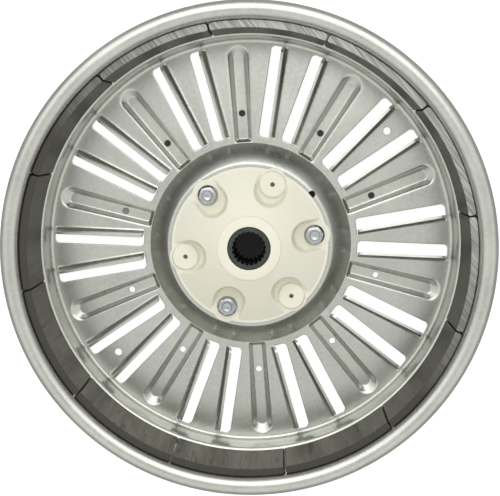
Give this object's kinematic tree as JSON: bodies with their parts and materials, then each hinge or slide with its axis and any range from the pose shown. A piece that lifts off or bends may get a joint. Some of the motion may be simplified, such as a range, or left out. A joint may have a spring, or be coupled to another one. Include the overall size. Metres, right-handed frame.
{
  "type": "direct-drive motor rotor",
  "caption": "Outer rotor of a direct-drive motor: a slotted steel cup with arc magnets round its wall and a plastic hub bushing that grips a splined shaft.",
  "frame": {"origin": "on the axis of rotation, in the plane of the outer faces of the pressed ribs that the rotor rests on", "axes": "+Z along the axis of rotation, out of the open side of the cup; +X through the single sight hole at the edge of the bushing"},
  "size_m": [0.2958, 0.2958, 0.0655],
  "materials": {
    "zinc_sheet": "satin zinc-coated pressed sheet",
    "ferrite": "ground sintered ferrite",
    "cream_plastic": "satin moulding",
    "dark_steel": "dark, lightly oiled",
    "zinc_bolt": "bright zinc plate"
  },
  "bodies": {
    "root": {"rotor_frame": "zinc_sheet", "magnet_01": "ferrite", "magnet_02": "ferrite", "magnet_03": "ferrite", "magnet_04": "ferrite", "magnet_05": "ferrite", "magnet_06": "ferrite", "magnet_07": "ferrite", "magnet_08": "ferrite", "magnet_09": "ferrite", "magnet_10": "ferrite", "magnet_11": "ferrite", "magnet_12": "ferrite", "hub_bushing": "cream_plastic", "splined_insert": "dark_steel", "hub_bolt_1": "zinc_bolt", "hub_bolt_2": "zinc_bolt", "hub_bolt_3": "zinc_bolt", "hub_nut_1": "zinc_bolt", "hub_nut_2": "zinc_bolt", "hub_nut_3": "zinc_bolt"}
  },
  "joints": []
}
